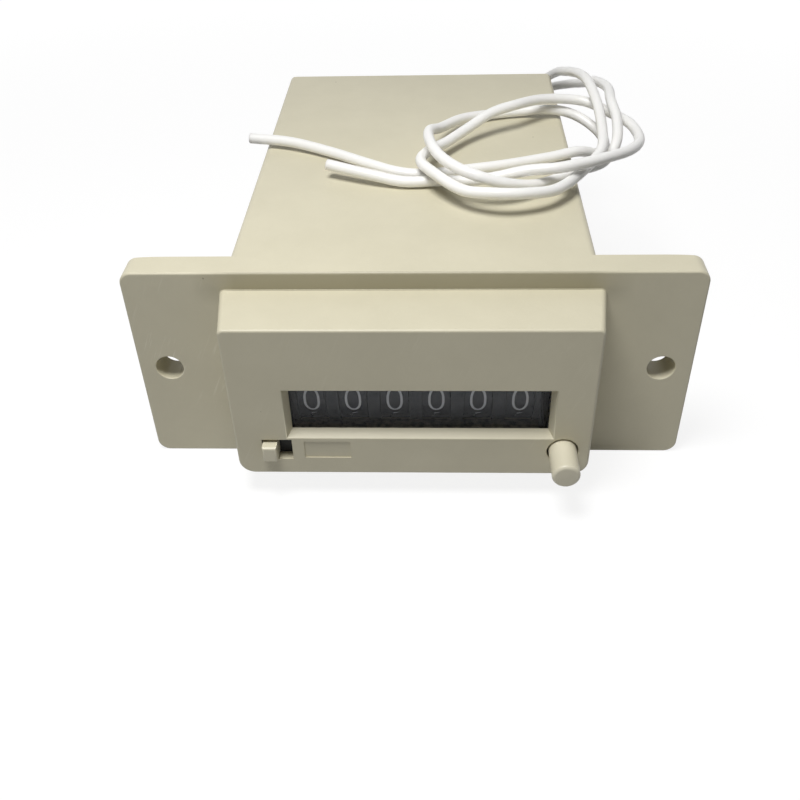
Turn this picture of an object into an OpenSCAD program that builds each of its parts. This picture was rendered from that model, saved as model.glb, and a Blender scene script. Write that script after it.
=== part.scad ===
// Six-figure electromagnetic counter for panel mounting, with a push-to-zero button.
// Millimetres. The origin is midway between the two mounting holes, on the flange's rear face.
// +X is right as seen from the front, +Y goes into the panel, +Z is up.

/* [Housing] */
// Width of the mounting flange
flange_w = 90; // [88:0.5:96]
// Height of the flange and of the body
flange_h = 36; // [35.8:0.1:37]
// Thickness of the flange
flange_t = 5; // [4.5:0.1:5.5]
// Width of the body behind the flange
body_w = 57.2; // [57:0.1:59]
// Depth of the body behind the flange
body_d = 78.2; // [78:0.2:84]
// Width of the bezel
bezel_w = 56.2; // [56:0.1:57]
// Height of the bezel
bezel_h = 28.2; // [28:0.1:28.6]
// Distance from the flange's top edge down to the bezel
bezel_drop = 3; // [2.8:0.1:3.1]
// How far the bezel stands out of the flange
bezel_d = 11; // [10.6:0.1:11.4]
// How far each side of the bezel spreads towards the flange
bezel_spread = 1.6; // [0.5:0.1:2]
// Thickness of the housing's walls
wall = 2; // [1.6:0.1:2.1]
// Radius of the body's long edges
corner_r = 1.2; // [0.8:0.1:2]
// Radius of the flange's corners
flange_r = 2; // [1:0.1:2.5]
// Radius of the bezel's lower corners
bezel_r = 2.5; // [1:0.1:3]
// Radius of the hollow where the body grows out of the flange
fillet_r = 1.9; // [1:0.1:2.5]

/* [Mounting] */
// Distance between the two mounting holes
hole_pitch = 80; // [76:0.5:81]
// Diameter of the mounting holes
hole_d = 4.5; // [3.5:0.1:5.5]

/* [Window] */
// Width of the window at the front
window_w = 42; // [41:0.2:42.4]
// Height of the window at the front
window_h = 9.6; // [9:0.1:9.8]
// Inward slope of the window's walls
window_slope = 0.75; // [0.4:0.05:0.9]

/* [Controls] */
// Diameter of the reset button
button_d = 4.4; // [4:0.1:4.5]
// How far the reset button stands out of the bezel
button_out = 6; // [4.5:0.1:8]
// Travel of the reset button
button_travel = 3.5; // [2.5:0.1:3.6]
// Width of the lock slide's knob
knob_w = 2.3; // [2:0.1:2.4]
// How far the knob stands out of the bezel
knob_out = 1.5; // [0.8:0.1:3]

/* [Counting train] */
// Distance from one number wheel to the next
wheel_pitch = 6.55; // [6.5:0.01:6.56]
// Diameter of the number wheels
wheel_d = 17.8; // [17.6:0.1:18]
// Diameter of the wheel axle
axle_d = 3; // [2.5:0.1:3.2]
// Diameter of the pinion axle
pinion_axle_d = 2; // [1.6:0.1:2.2]

/* [Magnet] */
// Diameter of the iron core
core_d = 8; // [7:0.1:8.4]
// Diameter of the bobbin's flanges
bobbin_d = 21; // [20:0.2:22]
// Length of the bobbin
bobbin_l = 32.6; // [30:0.2:34]
// Air gap between armature and core
air_gap = 1.1; // [1:0.05:1.4]

/* [Leads] */
// Outer diameter of a lead
lead_d = 1.9; // [1.6:0.1:2]

/* [Hidden] */
eps = 0.02;
$fn = 64;

// Clearances
run_gap = 0.05;
slip_gap = 0.15;
sheet = 0.7;

// Housing planes
front_wall = 1.8;
front_y = -flange_t - bezel_d;
inner_front_y = front_y + front_wall;
rear_y = body_d;
bezel_top = flange_h / 2 - bezel_drop;
bezel_bottom = bezel_top - bezel_h;
bezel_z = (bezel_top + bezel_bottom) / 2;
bezel_rise = 0.9;
axle_z = bezel_z - bezel_rise;
floor_z = -flange_h / 2 + wall + 0.2;
roof_z = -floor_z;
side_x = body_w / 2 - wall - 0.2;
shoulder_y = -flange_t + wall;

// Window and lens
window_x = 1.2;
window_z = axle_z - 0.9;
lens_t = 0.9;
lens_lap = 0.9;
lens_lap_low = 0.4;
lens_y = inner_front_y + lens_t;
open_w = window_w - 2 * window_slope;
open_h = window_h - 2 * window_slope;

// Controls
button_x = 23.8;
button_z = axle_z - 8.25;
button_hole_d = button_d + 0.6;
spindle_d = 3;
collar_t = 1.5;
collar_y = inner_front_y + 0.4;
guide_y = -2;
slot_x = -21.5;
slot_z = axle_z - 8.05;
slot_w = 4.8;
slot_h = 4.1;
slide_t = 0.65;
slide_y = inner_front_y + 0.05;
knob_h = 2.9;
knob_x = slot_x - slot_w / 2 + slip_gap + knob_w / 2;
slide_travel = slot_w - knob_w - 2 * slip_gap;
lock_bar_h = 2.8;
lock_bar_end = button_x - button_d / 2 - slide_travel - 0.2;

// Wheel row
wheels = 6;
row_x = 0.57;
axle_y = -3.7;
wheel_r = wheel_d / 2;
rim_w = 4.3;
gear_w = 0.9;
dog_w = 0.7;
heart_w = 0.45;
heart_r_max = 4.5;
heart_r_min = 2.3;
finger_t = 0.3;
function wheel_x(i) = row_x + (i - (wheels - 1) / 2) * wheel_pitch;
row_left = wheel_x(0) - rim_w / 2 - dog_w - heart_w;
row_right = wheel_x(wheels - 1) + rim_w / 2 + gear_w;
ratchet_w = 0.45;
ratchet_r = 7.2;
left_wall_x = row_left - 0.4 - sheet;
right_wall_x = row_right + ratchet_w + 0.2;

// Carry gearing: 20 teeth on the wheel, 8 on the pinion
module_size = 0.8;
wheel_teeth = 20;
pinion_teeth = 8;
gear_root = 7;
gear_tip = 8.7;
pinion_root = 2.15;
pinion_tip = 3.9;
mesh_gap = 0.1;
pinion_reach = module_size * (wheel_teeth + pinion_teeth) / 2 + mesh_gap;
pinion_angle = -60;
pinion_y = axle_y + pinion_reach * cos(pinion_angle);
pinion_z = axle_z + pinion_reach * sin(pinion_angle);

// Reset lever
comb_reach = 13.2;
comb_rise = 9.5;
comb_y = axle_y + comb_reach;
comb_z = axle_z + comb_rise;
comb_shaft_d = 2.5;
comb_hub_r = 2.3;
comb_arm_x = 22.9;
comb_arm_w = 2.4;
arm_front = 1.1;
arm_back = 0.5;
arm_past = 2;
spindle_end = comb_y - arm_front - 0.2;

// Frame outline
frame_front = lens_y + 0.8;
frame_rear = 65;
frame_top = roof_z - 1.6;
frame_low = floor_z + 0.4;
nose_top = bezel_top - wall - 1.5;
nose_low = bezel_bottom + wall + 0.9;

// Magnet
coil_rise = 15.8;
coil_z = floor_z + coil_rise;
core_front = 24;
bobbin_y = core_front + 1;
bobbin_wall = 1;
bobbin_flange = 1;
yoke_t = 2.4;
yoke_w = 18;
yoke_low = frame_low + sheet;
yoke_top = yoke_low + yoke_t;
yoke_rear = bobbin_y + bobbin_l + 0.6;
yoke_front = 19.8;
armature_t = 1.6;
armature_rear = core_front - air_gap;
armature_y = armature_rear - armature_t / 2;
armature_z = yoke_top + 2;
armature_pin_d = 1.5;
knuckle_r = 1.6;
ear_t = 1.4;
ear_x = yoke_w / 2 + 0.1;
armature_w = 2 * ear_x - ear_t - 0.8;
anchor_t = 0.35;
anchor_x = row_right + 0.06;
post_y = 13;
post_z = coil_z + 5;
spring_x = -13.5;

// Rear end
cover_t = 2.4;
cover_inset = 0.6;
cover_y = rear_y - cover_inset - cover_t;
boss_r = 3;
boss_l = 9;
boss_x = side_x - boss_r - 0.4;
boss_z = roof_z - boss_r - 0.4;
grommet_x = 21;
grommet_z = 6.5;
lead_gap = 2.6;
grommet_lip = 1.2;
lead_start_y = cover_y + cover_t + grommet_lip;

// Lead routes, from the grommet to the bare ends
route_1 = [
    [grommet_x + lead_gap / 2, lead_start_y, grommet_z], [22.3, 82, 6.5], [23.5, 85.5, 8],
    [26, 87, 11], [28.5, 85, 14.5], [30.5, 80.5, 17.5], [31.5, 75, 19.5], [32, 69, 21.5],
    [32.5, 63, 23.3], [33, 57, 24.5], [33.5, 51, 24.5], [34, 44.5, 23.3], [34, 38, 21.6],
    [33, 31.5, 21], [29.5, 25, 20.6], [24, 16.5, 21], [18.5, 13, 21.9], [13, 12.5, 22.2],
    [8, 15, 21.6], [3.5, 20.5, 21.9], [1, 26.5, 21.5], [2.5, 32, 21], [5.5, 36.5, 20.5],
    [9.5, 41.5, 21], [14, 45, 22.5], [18.5, 47.5, 23], [23.5, 51.5, 22.5], [28.5, 53, 22],
    [33, 52.5, 21.5], [36.5, 49, 21], [39.5, 44, 21], [40.5, 39, 21], [40, 34, 21.3],
    [37.5, 29, 22], [33.5, 25, 22.7], [29, 22, 23], [24, 20, 23], [19, 20.4, 22.4],
    [13.5, 21, 20.9], [8.5, 22, 19.8], [3.5, 23.2, 19.3], [-2, 23.2, 19.2], [-8, 24.5, 20],
    [-15.5, 27.5, 20.5]
];
route_2 = [
    [grommet_x - lead_gap / 2, lead_start_y, grommet_z], [19.7, 83, 6.5], [20.8, 87.2, 7],
    [24.5, 90, 8.5], [29.5, 88.5, 11], [33.5, 82.5, 14], [36, 75, 17], [36.5, 68, 20],
    [37.5, 57.5, 22.5], [36.5, 47, 24], [37, 41.5, 22.6], [36.5, 36.5, 20.3], [34.2, 32.7, 18.5],
    [31.2, 29.8, 18.5], [28.2, 27, 19.4], [24.5, 23, 19.6], [20, 19.2, 20.3], [15, 16.5, 22],
    [10.5, 16, 23.6], [6.8, 17.9, 24.4], [4, 22, 24.8], [2.5, 29, 24.3], [2.5, 36, 23],
    [4.5, 42, 21], [8.5, 48.5, 20], [14, 52.5, 19.2], [20.5, 54, 19.2], [27, 53.5, 19.6],
    [31.5, 52.5, 18.6], [35, 49.5, 17], [36, 45, 16.2], [34, 39, 17], [29.5, 35, 19.2],
    [24, 32.5, 19.2], [16, 30, 19], [8.5, 28, 19], [2, 26.5, 19], [-3, 27, 19.2],
    [-8.5, 30.5, 19.2], [-15.5, 35.5, 19.2], [-23.5, 39.5, 19.5], [-31.5, 41.5, 19.5]
];

// Extrudes a flat X-Z shape along +Y
module along_y(y0, y1)
    translate([0, y0, 0]) rotate([-90, 0, 0]) linear_extrude(y1 - y0) mirror([0, 1]) children();

// Extrudes a flat Y-Z shape along +X
module along_x(x0, x1)
    translate([x0, 0, 0]) rotate([90, 0, 90]) linear_extrude(x1 - x0) children();

module rod_x(x0, x1, r) translate([x0, 0, 0]) rotate([0, 90, 0]) cylinder(h = x1 - x0, r = r);

module rod_y(y0, y1, r) translate([0, y0, 0]) rotate([-90, 0, 0]) cylinder(h = y1 - y0, r = r);

module box(low, high) translate(low) cube(high - low);

module rounded(w, h, r) {
    square([w - 2 * r, h], center = true);
    square([w, h - 2 * r], center = true);
    for (x = [-1, 1], z = [-1, 1])
        translate([x * (w / 2 - r), z * (h / 2 - r)]) circle(r);
}

// Outline of a toothed disc; widths are half-widths in tooth pitches
function teeth(n, root, tip, root_w, tip_w, turn) = [
    for (i = [0:n - 1])
        for (p = [[-root_w, root], [-tip_w, tip], [tip_w, tip], [root_w, root]])
            let (a = turn + (i + p[0]) * 360 / n) p[1] * [cos(a), sin(a)]
];

// Round tube swept along a list of points
function unit(v) = v / norm(v);
function heading(p, i) = unit(p[min(i + 1, len(p) - 1)] - p[max(i - 1, 0)]);
function square_to(v, t) = unit(v - (v * t) * t);
function sides(p, i, side) =
    i == len(p) ? [] : let (s = square_to(side, heading(p, i))) concat([s], sides(p, i + 1, s));
function ring(c, t, s, r, n) =
    [for (k = [0:n - 1]) let (a = 360 * k / n) c + r * (cos(a) * s + sin(a) * cross(t, s))];

module tube(p, r, n, side = [0, 0, 1]) {
    across = sides(p, 0, side);
    last = len(p) - 1;
    points = [for (i = [0:last]) each ring(p[i], heading(p, i), across[i], r, n)];
    walls = [
        for (i = [0:last - 1], k = [0:n - 1])
            let (a = i * n + k, b = i * n + (k + 1) % n)
                each [[a, a + n, b], [b, a + n, b + n]]
    ];
    ends = [for (k = [1:n - 2]) each [[0, k, k + 1], [last * n, last * n + k + 1, last * n + k]]];
    polyhedron(points, concat(walls, ends), convexity = 10);
}

// Points of a spring wound along +Y from the origin
function winding(r, length, turns, steps) =
    [for (i = [0:turns * steps]) let (a = 360 * i / steps)
        [r * cos(a), length * i / (turns * steps), r * sin(a)]];

module window_cut() translate([window_x, 0, window_z]) intersection() {
    along_x(-window_w, window_w) polygon([
        [front_y - eps, window_h / 2], [inner_front_y + eps, open_h / 2],
        [inner_front_y + eps, -open_h / 2], [front_y - eps, -window_h / 2]
    ]);
    translate([0, 0, -window_h]) linear_extrude(2 * window_h) polygon([
        [-window_w / 2, front_y - eps], [window_w / 2, front_y - eps],
        [open_w / 2, inner_front_y + eps], [-open_w / 2, inner_front_y + eps]
    ]);
}

// Block of the bezel, whose sides spread towards the flange
bezel_top_r = 0.9;
corner_steps = 8;
function bezel_corner(x, z, r, start) = [
    for (k = [0:corner_steps])
        let (a = start + 90 * k / corner_steps) [x + r * cos(a), z + r * sin(a)]
];
function bezel_outline(half) = concat(
    bezel_corner(half - bezel_top_r, bezel_top - bezel_top_r, bezel_top_r, 0),
    bezel_corner(-half + bezel_top_r, bezel_top - bezel_top_r, bezel_top_r, 90),
    bezel_corner(-half + bezel_r, bezel_bottom + bezel_r, bezel_r, 180),
    bezel_corner(half - bezel_r, bezel_bottom + bezel_r, bezel_r, 270)
);

module bezel_block() {
    back_y = -flange_t / 2;
    front = bezel_outline(bezel_w / 2);
    back = bezel_outline(bezel_w / 2 + bezel_spread * (back_y - front_y) / bezel_d);
    n = len(front);
    polyhedron(
        concat([for (p = front) [p[0], front_y, p[1]]], [for (p = back) [p[0], back_y, p[1]]]),
        concat(
            [[for (k = [n - 1:-1:0]) k], [for (k = [0:n - 1]) n + k]],
            [for (k = [0:n - 1]) let (m = (k + 1) % n) [k, m, n + m, n + k]]
        )
    );
}

// Blank sunk field beside the lock slide
tag_x = -13.5;
tag_w = 7.4;
tag_h = 3.4;
tag_sink = 0.2;

frame_screw_y = [32, 50];
frame_screw_d = 3;
pad_r = 4;
pilot_d = 2.5;

module housing() color("#dcd6bd") difference() {
    union() {
        difference() {
            union() {
                along_y(-flange_t, 0) rounded(flange_w, flange_h, flange_r);
                along_y(-flange_t / 2, rear_y) rounded(body_w, flange_h, corner_r);
                bezel_block();
            }
            box([-side_x, shoulder_y, floor_z], [side_x, rear_y + eps, roof_z]);
            box([-bezel_w / 2 + wall, inner_front_y, bezel_bottom + wall],
                [bezel_w / 2 - wall, shoulder_y + eps, bezel_top - wall]);
        }
        for (s = [-1, 1]) translate([s * (body_w / 2 + fillet_r), fillet_r, 0]) difference() {
            translate([-s * fillet_r / 2, -fillet_r / 2, 0])
                cube([fillet_r + 2 * eps, fillet_r + 2 * eps, flange_h - 2 * corner_r], center = true);
            cylinder(h = flange_h, r = fillet_r, center = true);
        }
        for (y = frame_screw_y)
            translate([0, y, floor_z - eps]) cylinder(h = frame_low - floor_z + eps, r = pad_r);
        for (s = [-1, 1]) translate([-s * boss_x, 0, s * boss_z]) cover_boss(s);
    }
    window_cut();
    for (s = [-1, 1]) translate([s * hole_pitch / 2, 0, 0]) rod_y(-flange_t - eps, eps, hole_d / 2);
    translate([button_x, 0, button_z]) rod_y(front_y - eps, inner_front_y + eps, button_hole_d / 2);
    box([slot_x - slot_w / 2, front_y - eps, slot_z - slot_h / 2],
        [slot_x + slot_w / 2, inner_front_y + eps, slot_z + slot_h / 2]);
    box([tag_x - tag_w / 2, front_y - eps, slot_z - tag_h / 2],
        [tag_x + tag_w / 2, front_y + tag_sink, slot_z + tag_h / 2]);
    for (y = frame_screw_y) translate([0, y, -flange_h / 2 - eps]) {
        cylinder(h = flange_h / 4, d = frame_screw_d + 0.2);
        cylinder(h = 0.3 + eps, d = 2 * frame_screw_d + 0.2);
        translate([0, 0, 0.3]) cylinder(h = 1.6, d1 = 2 * frame_screw_d + 0.2, d2 = frame_screw_d);
    }
    for (s = [-1, 1])
        translate([-s * boss_x, 0, s * boss_z]) rod_y(cover_y - boss_l + 1, cover_y + eps, pilot_d / 2);
}

// Screw boss that grows out of the body's side wall and roof or floor
module cover_boss(s) {
    rod_y(cover_y - boss_l, cover_y, boss_r);
    box([min(0, -s * (side_x - boss_x + eps)), cover_y - boss_l, -boss_r],
        [max(0, -s * (side_x - boss_x + eps)), cover_y, boss_r]);
    box([-boss_r, cover_y - boss_l, min(0, s * (roof_z - boss_z + eps))],
        [boss_r, cover_y, max(0, s * (roof_z - boss_z + eps))]);
}

module window_lens() color("#c8d2d8", 0.4) box(
    [window_x - open_w / 2 - lens_lap, inner_front_y, window_z - open_h / 2 - lens_lap_low],
    [window_x + open_w / 2 + lens_lap, lens_y, window_z + open_h / 2 + lens_lap]
);

mask_t = 0.8;
mask_border = 1.7;
mask_low = axle_z - 6.8;
mask_sill = axle_z - 6;
mask_head = axle_z + 3.5;
mask_left = left_wall_x - 0.6;
mask_right = right_wall_x + sheet;
mask_open_right = row_right + 0.2;
mask_open_left = row_left - 0.1;
skirt_low = bezel_bottom + wall + 0.4;

// Bars between the wheels, level with their rims, that hide the gears
divider_gap = 0.12;
divider_r = wheel_r - 0.05;
divider_t = 0.45;
divider_low = -45;
divider_high = 26;
divider_steps = 12;
function divider_arc(r) = [
    for (k = [0:divider_steps])
        let (a = divider_low + (divider_high - divider_low) * k / divider_steps) r * [-cos(a), sin(a)]
];
function backwards(list) = [for (k = [len(list) - 1:-1:0]) list[k]];

module divider(x0, x1) {
    along_x(x0, x1) translate([axle_y, axle_z])
        polygon(concat(divider_arc(divider_r), backwards(divider_arc(divider_r + divider_t))));
    box([x0, lens_y + mask_t - eps, mask_head], [x1, axle_y - divider_r + 0.65, mask_head + 1.1]);
}

module wheel_mask() color("#26282a") {
    difference() {
        box([mask_left, lens_y, mask_low], [mask_right, lens_y + mask_t, mask_head + mask_border]);
        box([mask_open_left, lens_y - eps, mask_sill], [mask_open_right, lens_y + mask_t + eps, mask_head]);
    }
    box([mask_open_left, lens_y, mask_low], [mask_open_right, axle_y - wheel_r + 2, mask_sill]);
    box([mask_left, lens_y, skirt_low], [mask_right - 0.4, lens_y + mask_t - 0.1, mask_low + eps]);
    for (i = [0:wheels])
        divider(i == 0 ? mask_open_left - eps : wheel_x(i - 1) + rim_w / 2 + divider_gap,
            i == wheels ? mask_open_right + eps : wheel_x(i) - rim_w / 2 - divider_gap);
}

module reset_button() color("#dcd6bd") translate([button_x, 0, button_z]) {
    rod_y(front_y - button_out + 0.4, collar_y + collar_t, button_d / 2);
    translate([0, front_y - button_out, 0]) rotate([-90, 0, 0])
        cylinder(h = 0.4 + eps, d1 = button_d - 0.8, d2 = button_d);
    box([-1.2, collar_y, 0], [1.2, collar_y + collar_t, button_d / 2 + 2]);
    rod_y(collar_y, spindle_end - spindle_d / 2, spindle_d / 2);
    translate([0, spindle_end - spindle_d / 2, 0]) sphere(d = spindle_d);
}

reset_wire = 0.35;
reset_spring_r = spindle_d / 2 + 0.45;

module reset_spring() color("#b9bcc0")
    translate([button_x, collar_y + collar_t + reset_wire / 2 + 0.02, button_z])
        tube(winding(reset_spring_r, guide_y - collar_y - collar_t - reset_wire - 0.04, 8, 12),
            reset_wire / 2, 6);

knob_stud_d = 1.5;

module lock_slide() color("#2b2d2f") difference() {
    union() {
        box([-bezel_w / 2 + wall + 0.05, slide_y, slot_z - slot_h / 2 - 0.3],
            [slot_x + slot_w / 2 + 0.3, slide_y + slide_t, slot_z + slot_h / 2 + 0.25]);
        box([slot_x, slide_y, slot_z - slot_h / 2 - 0.3],
            [lock_bar_end, slide_y + slide_t, slot_z - slot_h / 2 - 0.3 + lock_bar_h]);
    }
    translate([knob_x, 0, slot_z]) rod_y(slide_y - eps, slide_y + slide_t + eps, knob_stud_d / 2 + eps);
}

module lock_knob() color("#dcd6bd") {
    box([knob_x - knob_w / 2, front_y - knob_out, slot_z - knob_h / 2],
        [knob_x + knob_w / 2, slide_y, slot_z + knob_h / 2]);
    translate([knob_x, 0, slot_z]) rod_y(slide_y - eps, slide_y + slide_t, knob_stud_d / 2);
}

module frame_wall(x0) along_x(x0, x0 + sheet) polygon([
    [frame_front, mask_low], [frame_front, nose_top], [shoulder_y + 0.6, nose_top],
    [shoulder_y + 0.6, frame_top], [frame_rear, frame_top], [frame_rear, frame_low],
    [shoulder_y + 0.6, frame_low], [shoulder_y + 0.6, nose_low], [frame_front + 3.5, nose_low]
]);

tab_t = 0.8;

module frame() color("#a9adb0") difference() {
    union() {
        frame_wall(left_wall_x);
        frame_wall(right_wall_x);
        box([left_wall_x, 14, frame_low], [right_wall_x + sheet, frame_rear, frame_low + sheet]);
        box([right_wall_x, guide_y, button_z - 2.75], [side_x - 0.4, guide_y + tab_t, button_z + 2.85]);
    }
    translate([0, axle_y, axle_z]) rod_x(-flange_w, flange_w, axle_d / 2 + run_gap);
    translate([0, pinion_y, pinion_z]) rod_x(-flange_w, flange_w, pinion_axle_d / 2 + run_gap);
    translate([0, comb_y, comb_z]) rod_x(-flange_w, flange_w, comb_shaft_d / 2 + run_gap);
    translate([button_x, 0, button_z]) rod_y(guide_y - eps, guide_y + tab_t + eps, spindle_d / 2 + run_gap);
    translate([0, tie_y, tie_z]) rod_x(-flange_w, flange_w, tie_screw_d / 2 + run_gap);
    translate([0, post_y, post_z]) rod_x(-flange_w, 0, post_d / 2 - 0.25 + run_gap);
    for (y = frame_screw_y)
        translate([0, y, frame_low - eps]) cylinder(h = 1, d = frame_screw_d + 0.2);
}

module wheel_axle() color("#c3c6c9") translate([0, axle_y, axle_z])
    rod_x(left_wall_x - 1, right_wall_x + sheet + 1, axle_d / 2);

module pinion_axle() color("#c3c6c9") translate([0, pinion_y, pinion_z])
    rod_x(left_wall_x - 1, right_wall_x + sheet + 1, pinion_axle_d / 2);

clip_t = 0.5;

module clip(x, d) difference() {
    rod_x(x, x + clip_t, d / 2 + 1.2);
    rod_x(x - eps, x + clip_t + eps, d / 2 + run_gap);
}

module axle_clips() color("#8f9396")
    for (at = [[axle_y, axle_z, axle_d], [pinion_y, pinion_z, pinion_axle_d]])
        translate([0, at[0], at[1]]) {
            clip(left_wall_x - 0.05 - clip_t, at[2]);
            clip(right_wall_x + sheet + 0.05, at[2]);
        }

// Heart cam outline, lowest point towards +Z
heart_steps = 36;
function heart() = [
    for (i = [0:heart_steps - 1])
        let (a = 360 * i / heart_steps, far = 1 - abs(a - 180) / 180)
            (heart_r_min + (heart_r_max - heart_r_min) * far) * [sin(a), cos(a)]
];

dog_r = 8.6;
dog_inner = 6.2;
rim_inner = 7.5;
wheel_hub_r = 3.2;

module number_wheel(i) color("#2f3236") translate([wheel_x(i), axle_y, axle_z]) difference() {
    union() {
        difference() {
            rod_x(-rim_w / 2, rim_w / 2, wheel_r);
            rod_x(-rim_w / 2 - eps, rim_w / 2 - gear_w, rim_inner);
        }
        along_x(rim_w / 2 - eps, rim_w / 2 + gear_w)
            polygon(teeth(wheel_teeth, gear_root, gear_tip, 0.3, 0.1, pinion_angle + 180 / wheel_teeth));
        difference() {
            rod_x(-rim_w / 2 - dog_w, -rim_w / 2 + eps, dog_r);
            rod_x(-rim_w / 2 - dog_w - eps, -rim_w / 2 + 2 * eps, dog_inner);
            along_x(-rim_w / 2 - dog_w - eps, -rim_w / 2)
                rotate(90) translate([dog_r, 0]) square([1.4, 1.2], center = true);
        }
        rod_x(-rim_w / 2 - dog_w, rim_w / 2, wheel_hub_r);
        along_x(-rim_w / 2 - dog_w - heart_w, -rim_w / 2 - dog_w + 0.3) polygon(heart());
    }
    rod_x(-wheel_pitch, wheel_pitch, axle_d / 2 + run_gap);
}

pinion_side = 0.12;
pinion_gear_w = gear_w + 0.15;

module transfer_pinion(i) color("#e6e3da")
    translate([wheel_x(i) + rim_w / 2, pinion_y, pinion_z]) difference() {
        union() {
            along_x(pinion_side, pinion_side + pinion_gear_w)
                polygon(teeth(pinion_teeth, pinion_root, pinion_tip, 0.25, 0.07, pinion_angle + 180));
            rod_x(pinion_side, wheel_pitch - rim_w - pinion_side, pinion_root);
        }
        rod_x(-wheel_pitch, wheel_pitch, pinion_axle_d / 2 + run_gap);
    }

spacer_r = 1.7;

module pinion_spacers() color("#d9d6cc") translate([0, pinion_y, pinion_z])
    for (i = [0:wheels - 1]) difference() {
        rod_x(i == 0 ? left_wall_x + sheet + 0.1 : wheel_x(i) - rim_w / 2 + 0.05,
            i == wheels - 1 ? anchor_x - 0.15 : wheel_x(i) + rim_w / 2 - 0.05, spacer_r);
        rod_x(-flange_w, flange_w, pinion_axle_d / 2 + run_gap);
    }

module drive_ratchet() color("#d9d6cc") translate([0, axle_y, axle_z]) difference() {
    along_x(row_right, row_right + ratchet_w) polygon(teeth(10, ratchet_r - 1.8, ratchet_r, 0.4, 0.06, 18));
    rod_x(0, flange_w, axle_d / 2 + run_gap);
}

module reset_shaft() color("#c3c6c9") translate([0, comb_y, comb_z])
    rod_x(left_wall_x - 0.8, comb_arm_x + comb_arm_w + 0.3, comb_shaft_d / 2);

finger_gap = (wheel_pitch - rim_w - gear_w - dog_w - finger_t) / 2;

// Free end of a finger, measured from the wheel axle
finger_root = 1.1;
finger = [[1.7, 9.9], [-0.9, 9], [-0.9, 7.4], [0.9, 7.4], [1.7, 8.6]];

module reset_comb() color("#a9adb0") difference() {
    union() {
        translate([0, comb_y, comb_z]) rod_x(left_wall_x + sheet + 0.15, anchor_x - 0.3, comb_hub_r);
        for (i = [0:wheels - 1])
            let (x = wheel_x(i) - rim_w / 2 - dog_w - finger_gap - finger_t)
                along_x(x, x + finger_t) translate([axle_y, axle_z]) polygon(concat(
                    [[comb_reach, comb_rise - finger_root], [comb_reach, comb_rise + finger_root]], finger
                ));
    }
    translate([0, comb_y, comb_z]) rod_x(-flange_w, flange_w, comb_shaft_d / 2);
}

// Arm outside the frame that the button's spindle pushes
module reset_arm() color("#a9adb0") difference() {
    union() {
        translate([0, comb_y, comb_z]) rod_x(comb_arm_x, comb_arm_x + comb_arm_w, comb_hub_r);
        box([comb_arm_x, comb_y - arm_front, button_z - arm_past],
            [comb_arm_x + comb_arm_w, comb_y + arm_back, comb_z]);
    }
    translate([0, comb_y, comb_z]) rod_x(0, flange_w, comb_shaft_d / 2);
}

comb_wire = 0.3;

module comb_spring() color("#b9bcc0")
    translate([right_wall_x + sheet + 0.25, comb_y, comb_z]) rotate([0, 0, -90])
        tube(winding(comb_shaft_d / 2 + 0.4, comb_arm_x - right_wall_x - sheet - 0.5, 3, 12),
            comb_wire / 2, 6, [1, 0, 0]);

module magnet_yoke() color("#9a9ea2") difference() {
    union() {
        box([-yoke_w / 2, yoke_front + 4, yoke_low], [yoke_w / 2, yoke_rear + yoke_t, yoke_top]);
        box([-yoke_w / 2, yoke_rear, yoke_low], [yoke_w / 2, yoke_rear + yoke_t, coil_z + core_d]);
        for (s = [-1, 1])
            box([s * ear_x - ear_t / 2, yoke_front, yoke_low],
                [s * ear_x + ear_t / 2, yoke_front + 6, armature_z + 2]);
    }
    translate([0, armature_y, armature_z]) rod_x(-flange_w, flange_w, armature_pin_d / 2 + run_gap);
    translate([0, 0, coil_z]) rod_y(yoke_rear - eps, yoke_rear + yoke_t + eps, core_screw_d / 2 + run_gap);
    for (y = frame_screw_y)
        translate([0, y, yoke_low - eps]) cylinder(h = yoke_t - 0.4, d = frame_screw_d + 0.1);
}

core_screw_d = 4;
core_thread = 8;

module magnet_core() color("#b4b7ba") translate([0, 0, coil_z]) difference() {
    rod_y(core_front, yoke_rear, core_d / 2);
    rod_y(yoke_rear - core_thread, yoke_rear + eps, core_screw_d / 2 + run_gap);
}

module core_screw() color("#c3c6c9") translate([0, 0, coil_z]) difference() {
    union() {
        rod_y(yoke_rear - core_thread + 0.5, yoke_rear + yoke_t + eps, core_screw_d / 2);
        rod_y(yoke_rear + yoke_t, yoke_rear + yoke_t + 2.2, core_screw_d);
    }
    box([-core_screw_d, yoke_rear + yoke_t + 1.3, -0.5], [core_screw_d, yoke_rear + yoke_t + 3, 0.5]);
}

bobbin_bore = core_d / 2 + slip_gap;

module coil_bobbin() color("#e9e6dc") translate([0, bobbin_y, coil_z]) difference() {
    union() {
        rod_y(0, bobbin_l, bobbin_bore + bobbin_wall);
        rod_y(0, bobbin_flange, bobbin_d / 2);
        rod_y(bobbin_l - bobbin_flange, bobbin_l, bobbin_d / 2);
    }
    rod_y(-eps, bobbin_l + eps, bobbin_bore);
}

winding_r = bobbin_d / 2 - 0.9;

module sleeve(r0, r1) translate([0, bobbin_y, coil_z]) difference() {
    rod_y(bobbin_flange, bobbin_l - bobbin_flange, r1);
    rod_y(0, bobbin_l, r0);
}

module coil_winding() color("#a8623a") sleeve(bobbin_bore + bobbin_wall + run_gap, winding_r);

module coil_wrap() color("#d8c98a") sleeve(winding_r + run_gap, winding_r + 0.35);

terminal_y = bobbin_y + bobbin_l - bobbin_flange / 2;
terminal_x = 4;
terminal_h = 3.3;
terminal_low = coil_z + bobbin_d / 2 - 1.2;
terminal_top = terminal_low + terminal_h;

module coil_terminals() color("#cfc9a0") for (s = [-1, 1])
    translate([s * terminal_x, terminal_y, terminal_low])
        box([-0.3, bobbin_flange / 2, 0], [0.3, bobbin_flange / 2 + 0.5, terminal_h]);

armature_top = coil_z + 8;

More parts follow.
